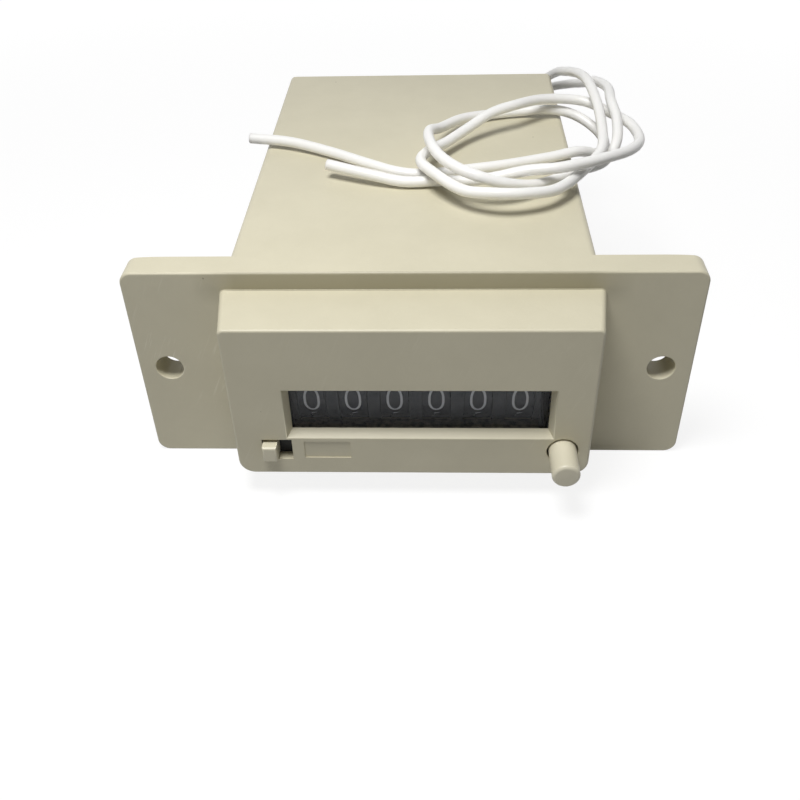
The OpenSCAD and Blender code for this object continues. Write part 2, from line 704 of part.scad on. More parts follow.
module armature() color("#b4b7ba") difference() {
    union() {
        box([-armature_w / 2, armature_rear - armature_t, armature_z],
            [armature_w / 2, armature_rear, armature_top]);
        translate([0, armature_y, armature_z]) rod_x(-armature_w / 2, armature_w / 2, knuckle_r);
        box([spring_x - 1.5, armature_rear - armature_t, post_z - 1.5],
            [anchor_x, armature_rear, armature_top]);
    }
    translate([0, armature_y, armature_z]) rod_x(-flange_w, flange_w, armature_pin_d / 2 + run_gap);
}

module armature_pin() color("#c3c6c9") translate([0, armature_y, armature_z])
    rod_x(-ear_x - ear_t / 2 - 0.4, ear_x + ear_t / 2 + 0.4, armature_pin_d / 2);

post_d = 2.5;

module spring_post() color("#c3c6c9") translate([0, post_y, post_z]) {
    rod_x(left_wall_x + sheet, spring_x + 1.5, post_d / 2);
    rod_x(left_wall_x - 0.4, left_wall_x + sheet + eps, post_d / 2 - 0.25);
}

armature_wire = 0.35;

module armature_spring() color("#b9bcc0")
    translate([spring_x, post_y + post_d / 2 + armature_wire / 2 + 0.02, post_z])
        tube(winding(1.2, armature_rear - armature_t - post_y - post_d / 2 - armature_wire - 0.04, 9, 12),
            armature_wire / 2, 6);

// Fork whose two pallets straddle the ratchet; its points are measured from the wheel axle
fork = [
    [11.7, 6.6], [6.3, 7.6], [4.6, 6.6], [4.7, 5.7], [6.1, 5.4], [11.7, 4.6], [16.2, 2], [16.2, -2.4],
    [9.7, -6.2], [6.3, -7.6], [4.3, -7.4], [4.3, -8.2], [7.1, -8.6], [10.7, -7.6], [19.7, -3.4], [20.7, 0]
];

module drive_anchor() color("#a9adb0") along_x(anchor_x, anchor_x + anchor_t) polygon(concat(
    [[armature_rear, armature_top], [armature_rear - 5, armature_top - 1]],
    [for (p = fork) [axle_y, axle_z] + p],
    [[armature_rear, post_z - 1.5]]
));

tie_y = armature_rear - 6.4;
tie_z = frame_top - 1.8;
tie_d = 3.2;
tie_screw_d = 2;

module tie_rod() color("#c3c6c9") translate([0, tie_y, tie_z]) difference() {
    rod_x(left_wall_x + sheet, right_wall_x, tie_d / 2);
    for (x = [left_wall_x + sheet, right_wall_x])
        rod_x(x - 4.6, x + 4.6, tie_screw_d / 2 + run_gap);
}

module tie_screws() color("#8f9396") translate([0, tie_y, tie_z]) for (s = [0, 1])
    translate([s ? right_wall_x + sheet : left_wall_x, 0, 0]) mirror([1 - s, 0, 0]) difference() {
        union() {
            rod_x(-4, eps, tie_screw_d / 2);
            rod_x(0, 1.2, tie_screw_d);
        }
        box([0.7, -tie_screw_d, -0.25], [2, tie_screw_d, 0.25]);
    }

module frame_screws() color("#8f9396") for (y = frame_screw_y)
    translate([0, y, -flange_h / 2]) difference() {
        union() {
            translate([0, 0, 0.35]) cylinder(h = 1.45, d1 = 2 * frame_screw_d - 0.1, d2 = frame_screw_d);
            translate([0, 0, 0.5]) cylinder(h = yoke_low + flange_h / 2 + 1, d = frame_screw_d);
        }
        box([-frame_screw_d, -0.4, 0], [frame_screw_d, 0.4, 0.9]);
    }

cover_gap = 0.15;
screw_head_r = 2.4;
screw_head_h = 1.4;

module rear_cover() color("#cfc9b0") difference() {
    box([-side_x + cover_gap, cover_y, floor_z + cover_gap],
        [side_x - cover_gap, cover_y + cover_t, roof_z - cover_gap]);
    for (s = [-1, 1]) translate([-s * boss_x, 0, s * boss_z]) {
        rod_y(cover_y - eps, cover_y + cover_t + eps, pilot_d / 2 + 0.1);
        rod_y(cover_y + cover_t - screw_head_h, cover_y + cover_t + eps, screw_head_r + 0.2);
    }
    translate([grommet_x, 0, grommet_z]) along_y(cover_y - eps, cover_y + cover_t + eps) stadium(0);
}

module cover_screws() color("#8f9396") for (s = [-1, 1])
    translate([-s * boss_x, cover_y + cover_t - screw_head_h, s * boss_z]) difference() {
        union() {
            rod_y(0.02, screw_head_h, screw_head_r);
            rod_y(-boss_l + 2.5, 0.1, pilot_d / 2 - 0.05);
        }
        box([-screw_head_r, screw_head_h - 0.6, -0.35], [screw_head_r, screw_head_h + 1, 0.35]);
        box([-0.35, screw_head_h - 0.6, -screw_head_r], [0.35, screw_head_h + 1, screw_head_r]);
    }

// Long round outline of the grommet's waist, grown by a margin
grommet_r = 2;

module stadium(grow) {
    square([lead_gap, 2 * (grommet_r + grow)], center = true);
    for (s = [-1, 1]) translate([s * lead_gap / 2, 0]) circle(grommet_r + grow);
}

module lead_grommet() color("#2b2b2b") translate([grommet_x, 0, grommet_z]) difference() {
    union() {
        along_y(cover_y - grommet_lip, cover_y + cover_t + grommet_lip) stadium(-0.05);
        along_y(cover_y - grommet_lip, cover_y) stadium(0.9);
        along_y(cover_y + cover_t, cover_y + cover_t + grommet_lip) stadium(0.9);
    }
    for (s = [-1, 1]) translate([s * lead_gap / 2, 0, 0])
        rod_y(cover_y - 2 * grommet_lip, cover_y + cover_t + 2 * grommet_lip, lead_d / 2 + run_gap);
}

// Leads from the coil terminals to the grommet
inner_y = terminal_y + bobbin_flange / 2 + 0.5;
inner_z = terminal_top - 1.4;
inner_end_y = cover_y - grommet_lip - 1;
inner_route_1 = [
    [terminal_x, inner_y, inner_z], [terminal_x, 61.5, inner_z], [6, 64.5, inner_z - 0.2], [13, 67, 9.5],
    [19, 69, 7.6], [21.8, 70.8, 6.7], [grommet_x + lead_gap / 2, inner_end_y, grommet_z],
    [grommet_x + lead_gap / 2, lead_start_y, grommet_z]
];
inner_route_2 = [
    [-terminal_x, inner_y, inner_z], [-terminal_x, 62, inner_z], [-2, 66, inner_z - 0.2], [6, 69.5, 10.5],
    [13, 71, 9], [17.5, 71.6, 7.2], [grommet_x - lead_gap / 2, inner_end_y, grommet_z],
    [grommet_x - lead_gap / 2, lead_start_y, grommet_z]
];

module inner_leads() color("#f2f1ec") {
    tube(inner_route_1, lead_d / 2, 8);
    tube(inner_route_2, lead_d / 2, 8);
}

module lead_1() color("#f2f1ec") tube(route_1, lead_d / 2, 8);

module lead_2() color("#f2f1ec") tube(route_2, lead_d / 2, 8);

housing();
window_lens();
wheel_mask();
reset_button();
reset_spring();
lock_slide();
lock_knob();
frame();
wheel_axle();
pinion_axle();
axle_clips();
pinion_spacers();
for (i = [1:wheels]) number_wheel(i - 1);
for (i = [1:wheels - 1]) transfer_pinion(i - 1);
drive_ratchet();
reset_shaft();
reset_comb();
reset_arm();
comb_spring();
magnet_yoke();
magnet_core();
core_screw();
coil_bobbin();
coil_winding();
coil_wrap();
coil_terminals();
armature();
armature_pin();
armature_spring();
spring_post();
drive_anchor();
tie_rod();
tie_screws();
frame_screws();
rear_cover();
cover_screws();
lead_grommet();
inner_leads();
lead_1();
lead_2();
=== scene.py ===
"""Panel counter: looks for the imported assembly. Everything is in metres, in the assembly's own frame."""

import math

import bmesh
import bpy
from mathutils import Matrix, Vector


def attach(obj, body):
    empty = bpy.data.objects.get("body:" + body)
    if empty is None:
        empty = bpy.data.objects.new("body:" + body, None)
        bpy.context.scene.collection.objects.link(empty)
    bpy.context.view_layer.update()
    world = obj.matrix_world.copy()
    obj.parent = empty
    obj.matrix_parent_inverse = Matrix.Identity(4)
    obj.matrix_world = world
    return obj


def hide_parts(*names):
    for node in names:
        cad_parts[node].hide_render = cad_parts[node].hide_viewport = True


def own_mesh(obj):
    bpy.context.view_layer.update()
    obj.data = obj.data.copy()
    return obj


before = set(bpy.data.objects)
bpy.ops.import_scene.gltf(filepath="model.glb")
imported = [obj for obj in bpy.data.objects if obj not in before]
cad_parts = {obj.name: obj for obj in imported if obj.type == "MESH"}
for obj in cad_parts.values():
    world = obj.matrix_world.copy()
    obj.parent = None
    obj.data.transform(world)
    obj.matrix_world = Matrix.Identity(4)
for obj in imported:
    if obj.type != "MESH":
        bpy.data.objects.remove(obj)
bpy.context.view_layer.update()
scene = bpy.context.scene
MM = 0.001


def metres(*values):
    return Vector([value * MM for value in values])


# Camera: the viewpoint of the photograph, worked out from the straight edges of flange, bezel and body

CAMERA_AT = metres(4.087, -126.527, 91.532)
# Angles about X, Y and Z in degrees: tilt up from straight down, lean, and turn to the left
CAMERA_TURN = (51.0696, 1.3779, 1.8753)
CAMERA_LENS, CAMERA_SENSOR = 42.034, 36

camera_data = bpy.data.cameras.new("camera")
camera_data.sensor_width = CAMERA_SENSOR
camera_data.lens = CAMERA_LENS
camera_data.clip_start = 5 * MM
camera = bpy.data.objects.new("camera", camera_data)
camera.location = CAMERA_AT
camera.rotation_euler = [math.radians(angle) for angle in CAMERA_TURN]
scene.collection.objects.link(camera)
scene.camera = camera
scene.view_settings.view_transform = "Standard"


# Leads: the routes of the assembly's two leads, from the grommet to the bare ends, in millimetres

LEAD_D = 1.9 * MM
LEAD_ROUTES = {
    "lead_1": [
        (22.3, 78.8, 6.5), (22.3, 82, 6.5), (23.5, 85.5, 8), (26, 87, 11), (28.5, 85, 14.5),
        (30.5, 80.5, 17.5), (31.5, 75, 19.5), (32, 69, 21.5), (32.5, 63, 23.3), (33, 57, 24.5),
        (33.5, 51, 24.5), (34, 44.5, 23.3), (34, 38, 21.6), (33, 31.5, 21), (29.5, 25, 20.6),
        (24, 16.5, 21), (18.5, 13, 21.9), (13, 12.5, 22.2), (8, 15, 21.6), (3.5, 20.5, 21.9),
        (1, 26.5, 21.5), (2.5, 32, 21), (5.5, 36.5, 20.5), (9.5, 41.5, 21), (14, 45, 22.5),
        (18.5, 47.5, 23), (23.5, 51.5, 22.5), (28.5, 53, 22), (33, 52.5, 21.5), (36.5, 49, 21),
        (39.5, 44, 21), (40.5, 39, 21), (40, 34, 21.3), (37.5, 29, 22), (33.5, 25, 22.7),
        (29, 22, 23), (24, 20, 23), (19, 20.4, 22.4), (13.5, 21, 20.9), (8.5, 22, 19.8),
        (3.5, 23.2, 19.3), (-2, 23.2, 19.2), (-8, 24.5, 20), (-15.5, 27.5, 20.5),
    ],
    "lead_2": [
        (19.7, 78.8, 6.5), (19.7, 83, 6.5), (20.8, 87.2, 7), (24.5, 90, 8.5), (29.5, 88.5, 11),
        (33.5, 82.5, 14), (36, 75, 17), (36.5, 68, 20), (37.5, 57.5, 22.5), (36.5, 47, 24),
        (37, 41.5, 22.6), (36.5, 36.5, 20.3), (34.2, 32.7, 18.5), (31.2, 29.8, 18.5), (28.2, 27, 19.4),
        (24.5, 23, 19.6), (20, 19.2, 20.3), (15, 16.5, 22), (10.5, 16, 23.6), (6.8, 17.9, 24.4),
        (4, 22, 24.8), (2.5, 29, 24.3), (2.5, 36, 23), (4.5, 42, 21), (8.5, 48.5, 20),
        (14, 52.5, 19.2), (20.5, 54, 19.2), (27, 53.5, 19.6), (31.5, 52.5, 18.6), (35, 49.5, 17),
        (36, 45, 16.2), (34, 39, 17), (29.5, 35, 19.2), (24, 32.5, 19.2), (16, 30, 19),
        (8.5, 28, 19), (2, 26.5, 19), (-3, 27, 19.2), (-8.5, 30.5, 19.2), (-15.5, 35.5, 19.2),
        (-23.5, 39.5, 19.5), (-31.5, 41.5, 19.5),
    ],
}
CURVE_STEPS = 6


def smooth_route(route):
    """Points of a smooth curve through every point of the route."""
    knots = [metres(*point) for point in route]
    knots = [2 * knots[0] - knots[1]] + knots + [2 * knots[-1] - knots[-2]]
    points = []
    for a, b, c, d in zip(knots, knots[1:], knots[2:], knots[3:]):
        for step in range(CURVE_STEPS):
            t = step / CURVE_STEPS
            slope = (c - a) * t
            bend = (2 * a - 5 * b + 4 * c - d) * t * t
            ease = (3 * b - a - 3 * c + d) * t**3
            points.append(0.5 * (2 * b + slope + bend + ease))
    return points + [knots[-2]]


def make_lead(node, route):
    points = smooth_route(route)
    curve = bpy.data.curves.new(node + "_wire", "CURVE")
    curve.dimensions = "3D"
    curve.bevel_depth = 1
    curve.bevel_resolution = 6
    curve.use_fill_caps = True
    spline = curve.splines.new("POLY")
    spline.points.add(len(points) - 1)
    for slot, point in zip(spline.points, points):
        slot.co = (*point, 1)
        slot.radius = LEAD_D / 2
    spline.use_smooth = True
    lead = bpy.data.objects.new(node + "_wire", curve)
    scene.collection.objects.link(lead)
    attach(lead, "case")
    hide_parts(node)
    return lead, points


STRAND_R, STRAND_RING_R, STRAND_LENGTH = 0.16 * MM, 0.34 * MM, 0.3 * MM
OUTER_STRANDS = 6


def lead_core(name, points):
    """Ends of the conductor strands, one amid a ring of others, just proud of the cut insulation."""
    along = (points[-1] - points[-2]).normalized()
    side = along.orthogonal().normalized()
    up = along.cross(side)
    mesh = bmesh.new()
    centres = [Vector()]
    for k in range(OUTER_STRANDS):
        angle = k * math.tau / OUTER_STRANDS
        centres.append(STRAND_RING_R * (math.cos(angle) * side + math.sin(angle) * up))
    basis = Matrix((side, up, along)).transposed().to_4x4()
    for centre in centres:
        place = Matrix.Translation(points[-1] + centre) @ basis
        bmesh.ops.create_cone(
            mesh, cap_ends=True, segments=12, radius1=STRAND_R, radius2=STRAND_R, depth=STRAND_LENGTH,
            matrix=place,
        )
    core = finish_mesh(name, mesh)
    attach(core, "case")
    return core


# Mesh helpers


def finish_mesh(name, mesh, sharp=35):
    data = bpy.data.meshes.new(name)
    mesh.to_mesh(data)
    mesh.free()
    data.shade_smooth()
    data.set_sharp_from_angle(angle=math.radians(sharp))
    made = bpy.data.objects.new(name, data)
    scene.collection.objects.link(made)
    made.modifiers.new("flat faces stay flat", "WEIGHTED_NORMAL").keep_sharp = True
    return made


def clean_copy(node):
    """A node's mesh with its flat areas joined up, ready for its edges to be rounded."""
    mesh = bmesh.new()
    mesh.from_mesh(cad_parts[node].data)
    bmesh.ops.remove_doubles(mesh, verts=mesh.verts, dist=1e-7)
    bmesh.ops.dissolve_limit(mesh, angle_limit=math.radians(0.4), verts=mesh.verts, edges=mesh.edges)
    bmesh.ops.recalc_face_normals(mesh, faces=mesh.faces)
    return mesh


def round_edges(mesh, chosen, width, segments=3):
    """Rounds the sharp edges whose two ends both pass the test."""
    edges = [
        edge
        for edge in mesh.edges
        if edge.is_manifold
        and edge.calc_face_angle() > math.radians(30)
        and all(chosen(vert.co / MM) for vert in edge.verts)
    ]
    bmesh.ops.bevel(
        mesh, geom=edges, offset=width * MM, offset_type="OFFSET", segments=segments, profile=0.5,
        affect="EDGES", clamp_overlap=False,
    )


def stand_for(made, node, body):
    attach(made, body)
    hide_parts(node)
    return made


leads = {}
for node, route in LEAD_ROUTES.items():
    lead, points = make_lead(node, route)
    core = lead_core(node + "_core", points)
    leads[node] = (lead, core)


# Housing: the moulding with its edges rounded as they leave the mould

FRONT, FLANGE_FRONT, FLANGE_REAR, REAR = -16, -5, 0, 78.2
HOLE_X, HOLE_R = 40, 2.25
BUTTON_X, BUTTON_Z, BUTTON_HOLE_R = 23.8, -8.25, 2.5
WINDOW_LEFT, WINDOW_RIGHT, WINDOW_LOW, WINDOW_TOP = -19.8, 22.2, -5.7, 3.9
# On the bezel's front and on the flange, only the outline's own points lie further out than these
BEZEL_INSIDE_X, BEZEL_INSIDE_Z = 26.9, 12
FLANGE_INSIDE_X, FLANGE_INSIDE_Z = 42.9, 15.9
# On the flange's front, the foot of the bezel lies within these
FOOT_X, FOOT_LOW, FOOT_TOP = 30.5, -13.5, 15.5
NEAR = 0.02


def at(value, place):
    return abs(value - place) < NEAR


def on_bezel_outline(p):
    return at(p.y, FRONT) and (abs(p.x) > BEZEL_INSIDE_X or abs(p.z) > BEZEL_INSIDE_Z)


def on_bezel_foot(p):
    return at(p.y, FLANGE_FRONT) and abs(p.x) < FOOT_X and FOOT_LOW < p.z < FOOT_TOP


def on_flange_outline(p):
    return at(p.y, FLANGE_FRONT) and (abs(p.x) > FLANGE_INSIDE_X or abs(p.z) > FLANGE_INSIDE_Z)


def on_ear_back(p):
    return at(p.y, FLANGE_REAR) and abs(p.x) > FLANGE_INSIDE_X


def on_rear_rim(p):
    return at(p.y, REAR)


def on_window_rim(p):
    across = WINDOW_LEFT - NEAR < p.x < WINDOW_RIGHT + NEAR
    upright = WINDOW_LOW - NEAR < p.z < WINDOW_TOP + NEAR
    return at(p.y, FRONT) and across and upright


def on_mounting_hole(p):
    return at(p.y, FLANGE_FRONT) and at(math.hypot(abs(p.x) - HOLE_X, p.z), HOLE_R)


def on_button_hole(p):
    return at(p.y, FRONT) and at(math.hypot(p.x - BUTTON_X, p.z - BUTTON_Z), BUTTON_HOLE_R)


housing_mesh = clean_copy("housing")
for chosen, radius in (
    (on_bezel_outline, 0.4), (on_bezel_foot, 0.15), (on_flange_outline, 0.35), (on_ear_back, 0.3),
    (on_rear_rim, 0.3), (on_window_rim, 0.12), (on_mounting_hole, 0.15), (on_button_hole, 0.12),
):
    round_edges(housing_mesh, chosen, radius)
housing = stand_for(finish_mesh("housing_moulding", housing_mesh), "housing", "case")


# Button and knob: rounded ends, worn smooth by fingers

BUTTON_R, BUTTON_END, BUTTON_BACK, BUTTON_ROUND = 2.2, -22, -12.3, 0.6
SPINDLE_R, SPINDLE_END = 1.5, 8.2
COLLAR_FRONT, COLLAR_W, COLLAR_TOP = -13.8, 2.4, 4.2
ROUND_STEPS, TURN_STEPS = 8, 72


def quarter(radius, y, r, start):
    """Points of a quarter round about (radius, y), turning forward or back."""
    turns = [math.radians(start + 90 * k / ROUND_STEPS) for k in range(ROUND_STEPS + 1)]
    return [(radius + r * math.cos(a), y + r * math.sin(a)) for a in turns]


profile = [(0, BUTTON_END)]
profile += quarter(BUTTON_R - BUTTON_ROUND, BUTTON_END + BUTTON_ROUND, BUTTON_ROUND, -90)
profile += [(BUTTON_R, BUTTON_BACK), (SPINDLE_R, BUTTON_BACK)]
profile += quarter(0, SPINDLE_END - SPINDLE_R, SPINDLE_R, 0)
button_mesh = bmesh.new()
line = [button_mesh.verts.new(metres(BUTTON_X + r, y, BUTTON_Z)) for r, y in profile]
edges = [button_mesh.edges.new(pair) for pair in zip(line, line[1:])]
bmesh.ops.spin(
    button_mesh, geom=line + edges, cent=metres(BUTTON_X, 0, BUTTON_Z), axis=(0, 1, 0), angle=math.tau,
    steps=TURN_STEPS, use_merge=True,
)
bmesh.ops.remove_doubles(button_mesh, verts=button_mesh.verts, dist=1e-7)
key = bmesh.ops.create_cube(button_mesh, size=1)["verts"]
key_size = metres(COLLAR_W, BUTTON_BACK - COLLAR_FRONT, COLLAR_TOP)
bmesh.ops.scale(button_mesh, verts=key, vec=key_size)
bmesh.ops.translate(
    button_mesh, verts=key, vec=metres(BUTTON_X, (BUTTON_BACK + COLLAR_FRONT) / 2, BUTTON_Z + COLLAR_TOP / 2)
)
bmesh.ops.recalc_face_normals(button_mesh, faces=button_mesh.faces)
button_moulding = finish_mesh("reset_button_moulding", button_mesh)
button = stand_for(button_moulding, "reset_button", "button")

# The knob's edges behind this plane, at its bar, stay sharp
KNOB_BACK = -14.3
KNOB_ROUND = 0.35


def on_knob_head(p):
    return p.y < KNOB_BACK


knob_mesh = clean_copy("lock_knob")
round_edges(knob_mesh, on_knob_head, KNOB_ROUND, 5)
knob = stand_for(finish_mesh("lock_knob_moulding", knob_mesh), "lock_knob", "lock")


# Return spring of the button: the part's coil, rebuilt as a mesh of its own and held by the case

spring_mesh = bmesh.new()
spring_mesh.from_mesh(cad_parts["reset_spring"].data)
spring = stand_for(finish_mesh("reset_spring_coil", spring_mesh), "reset_spring", "case")
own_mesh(spring)


# Figures: single strokes with their points on each wheel's rim, in shares of a figure's width and height


def arc(x, y, rx, ry, start, end, steps=14):
    return [
        (x + rx * math.cos(math.radians(a)), y + ry * math.sin(math.radians(a)))
        for a in (start + (end - start) * k / steps for k in range(steps + 1))
    ]


FIGURES = {
    0: [arc(0.5, 0.56, 0.5, 0.44, 0, 180, 18) + arc(0.5, 0.44, 0.5, 0.44, 180, 360, 18) + [(1, 0.56)]],
    1: [[(0.2, 0.72), (0.56, 1), (0.56, 0)]],
    2: [arc(0.5, 0.7, 0.48, 0.3, 165, -35) + [(0.02, 0), (1, 0)]],
    3: [arc(0.48, 0.755, 0.42, 0.245, 150, -90), arc(0.48, 0.255, 0.48, 0.255, 90, -150)],
    4: [[(0.72, 0), (0.72, 1), (0, 0.28), (1, 0.28)]],
    5: [[(0.9, 1), (0.16, 1), (0.08, 0.52)] + arc(0.48, 0.32, 0.48, 0.32, 125, -150)],
    6: [arc(0.5, 0.32, 0.48, 0.32, 180, -180, 28), [(0.02, 0.32), (0.14, 0.68), (0.62, 1)]],
    7: [[(0, 1), (1, 1), (0.36, 0)]],
    8: [arc(0.5, 0.76, 0.4, 0.24, -90, 270, 26), arc(0.5, 0.26, 0.48, 0.26, 90, 450, 28)],
    9: [arc(0.5, 0.68, 0.48, 0.32, 0, 360, 28), [(0.98, 0.68), (0.86, 0.32), (0.38, 0)]],
}
FIGURE_W, FIGURE_H, STROKE = 2.55, 5.0, 0.37
WHEEL_R, AXLE_Y = 8.9, -3.7
ROW_X, WHEEL_PITCH = 0.57, 6.55
WHEELS, ROW_MIDDLE = 6, 3.5
FIGURE_TILT, FIGURE_STEP = -3.6, 36
INK_OVER, INK_UNDER = 0.015, 0.03
# At a sharp corner a stroke widens no further than one over this
LEAST_MITRE = 0.4


def on_rim(x, u, v, angle, r):
    """A point of a figure, u across and v up from its middle, wrapped on the rim."""
    a = math.radians(angle) + v / WHEEL_R
    return metres(x + u, AXLE_Y - r * math.cos(a), r * math.sin(a))


def ink_stroke(mesh, line, x, angle):
    """One stroke of ink; a long straight stretch up or down the rim dips under it between its points."""
    points = [Vector(((u - 0.5) * (FIGURE_W - STROKE), (v - 0.5) * (FIGURE_H - STROKE))) for u, v in line]
    closed = (points[0] - points[-1]).length < 1e-6
    if closed:
        points.pop()
    count = len(points)
    rows = []
    for i, point in enumerate(points):
        before = points[i - 1] if closed or i else point
        after = points[(i + 1) % count] if closed or i < count - 1 else point
        ahead = (after - before).normalized()
        left = Vector((-ahead.y, ahead.x)) * STROKE / 2
        if before != point != after:
            straightness = (point - before).normalized().dot((after - point).normalized())
            left /= max(LEAST_MITRE, math.sqrt(max(0, (1 + straightness) / 2)))
        edges = [point + left, point - left]
        rows.append(
            [mesh.verts.new(on_rim(x, *edge, angle, WHEEL_R + INK_OVER)) for edge in edges]
            + [mesh.verts.new(on_rim(x, *edge, angle, WHEEL_R - INK_UNDER)) for edge in reversed(edges)]
        )
    pairs = zip(rows, rows[1:] + rows[:1]) if closed else zip(rows, rows[1:])
    for a, b in pairs:
        for k in range(4):
            mesh.faces.new((a[k], a[(k + 1) % 4], b[(k + 1) % 4], b[k]))
    if not closed:
        mesh.faces.new(rows[0])
        mesh.faces.new(reversed(rows[-1]))


figure_pieces = []
for wheel in range(1, WHEELS + 1):
    mesh = bmesh.new()
    wheel_x = ROW_X + (wheel - ROW_MIDDLE) * WHEEL_PITCH
    for figure, lines in FIGURES.items():
        for line in lines:
            ink_stroke(mesh, line, wheel_x, FIGURE_TILT - FIGURE_STEP * figure)
    bmesh.ops.recalc_face_normals(mesh, faces=mesh.faces)
    piece = finish_mesh("figures_%d" % wheel, mesh, 60)
    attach(piece, "wheel_%d" % wheel)
    figure_pieces.append(piece)


# Materials


def linear(hex_colour):
    """An sRGB hex colour as linear RGBA."""
    parts = [int(hex_colour[i : i + 2], 16) / 255 for i in (1, 3, 5)]
    return (*[c / 12.92 if c <= 0.04045 else ((c + 0.055) / 1.055) ** 2.4 for c in parts], 1)


def add(tree, kind, sockets=(), **settings):
    """Adds a node, with its settings, and with a value or a link in each socket named."""
    made = tree.nodes.new(kind)
    for name, value in settings.items():
        setattr(made, name, value)
    for name, value in dict(sockets).items():
        if isinstance(value, bpy.types.NodeSocket):
            tree.links.new(value, made.inputs[name])
        else:
            made.inputs[name].default_value = value
    return made


def per(size_mm):
    """Texture scale at which one feature is this many millimetres wide."""
    return 1 / (size_mm * MM)


def new_material(name, **surface):
    """A named material: its tree, its Principled node and its place in the assembly's frame."""
    material = bpy.data.materials.new(name)
    material.use_nodes = True
    tree = material.node_tree
    shader = tree.nodes["Principled BSDF"]
    for socket, value in surface.items():
        shader.inputs[socket.replace("_", " ")].default_value = value
    place = add(tree, "ShaderNodeTexCoord").outputs["Object"]
    return material, tree, shader, place


def mottled(tree, place, pale, dark, size_mm):
    """A slow drift between two near colours."""
    noise = add(
        tree, "ShaderNodeTexNoise",
        {"Vector": place, "Scale": per(size_mm), "Detail": 7.0, "Roughness": 0.65},
    )
    share = add(tree, "ShaderNodeMapRange", {0: noise.outputs["Fac"], 1: 0.35, 2: 0.65})
    mix = add(
        tree, "ShaderNodeMix", {0: share.outputs[0], 6: linear(dark), 7: linear(pale)}, data_type="RGBA"
    )
    return mix.outputs[2]


# Drift of colour, specks, scuffs and painted corner shade on moulded plastic: millimetres, shares and
# colours
DRIFT_MM = 14
SPECK_PITCH_MM, SPECK_FROM, SPECK_REACH, SPECK_SHARE = 4.5, 0.72, 0.045, 0.55
SCUFF_WIDE_MM, SCUFF_LONG, SCUFF_LEAN, SCUFF_PATCH_MM = 0.35, 14, 0.4, 9
SCUFF_MOST, SCUFF_ELSEWHERE, SCUFF_COLOUR = 0.65, 0.12, "#EAE6D6"
SCUFFED_EAR, SCUFFED_NEAR, SCUFFED_FAR = (-34, FLANGE_FRONT, 4), 7, 14
# Painted shade: the flange's face above the bezel is darkened in its colour, standing in for the shade in
# that corner
CORNER_FROM, CORNER_FULL, CORNER_TOP = 12, 15, 18
CORNER_LOW_SHARE, CORNER_TOP_SHARE, CORNER_SHADE_COLOUR = 0.75, 0.5, "#8F8970"
CORNER_X, CORNER_END_X, CORNER_SKIN = 27, 34, 0.3


def with_specks(tree, place, colour, speck_colour):
    """Dark specks of dust, a fraction of a millimetre wide, in some of the pattern's cells."""
    cells = add(
        tree, "ShaderNodeTexVoronoi", {"Vector": place, "Scale": per(SPECK_PITCH_MM), "Randomness": 1.0}
    )
    chance = add(tree, "ShaderNodeSeparateColor", {0: cells.outputs["Color"]})
    reach = add(
        tree, "ShaderNodeMapRange", {0: chance.outputs[0], 1: SPECK_FROM, 2: 1.0, 3: 0.0, 4: SPECK_REACH}
    )
    spot = add(
        tree, "ShaderNodeMath", {0: cells.outputs["Distance"], 1: reach.outputs[0]},
        operation="LESS_THAN",
    )
    shown = add(tree, "ShaderNodeMath", {0: spot.outputs[0], 1: SPECK_SHARE}, operation="MULTIPLY")
    mix = add(
        tree, "ShaderNodeMix", {0: shown.outputs[0], 6: colour, 7: linear(speck_colour)}, data_type="RGBA"
    )
    return mix.outputs[2]


def with_scuffs(tree, place, colour):
    """Handling scuffs: pale streaks of about 0.35 by 5 mm in patches, most of them on the left ear."""
    leaning = add(
        tree, "ShaderNodeMapping",
        {"Vector": place, "Rotation": (0, SCUFF_LEAN, 0), "Scale": (1, 1, SCUFF_LONG)},
        vector_type="TEXTURE",
    )
    streaks = add(
        tree, "ShaderNodeTexNoise",
        {"Vector": leaning.outputs[0], "Scale": per(SCUFF_WIDE_MM), "Detail": 2.0},
    )
    streak = add(tree, "ShaderNodeMapRange", {0: streaks.outputs["Fac"], 1: 0.58, 2: 0.72})
    patches = add(
        tree, "ShaderNodeTexNoise", {"Vector": place, "Scale": per(SCUFF_PATCH_MM), "Detail": 2.0}
    )
    patch = add(tree, "ShaderNodeMapRange", {0: patches.outputs["Fac"], 1: 0.46, 2: 0.62, 4: SCUFF_MOST})
    away = add(tree, "ShaderNodeVectorMath", {0: place, 1: metres(*SCUFFED_EAR)}, operation="DISTANCE")
    handled = add(
        tree, "ShaderNodeMapRange",
        {0: away.outputs["Value"], 1: SCUFFED_NEAR * MM, 2: SCUFFED_FAR * MM, 3: 1.0, 4: SCUFF_ELSEWHERE},
    )
    share = streak.outputs[0]
    for limit in (patch, handled):
        share = add(tree, "ShaderNodeMath", {0: share, 1: limit.outputs[0]}, operation="MULTIPLY").outputs[0]
    mix = add(tree, "ShaderNodeMix", {0: share, 6: colour, 7: linear(SCUFF_COLOUR)}, data_type="RGBA")
    return mix.outputs[2]


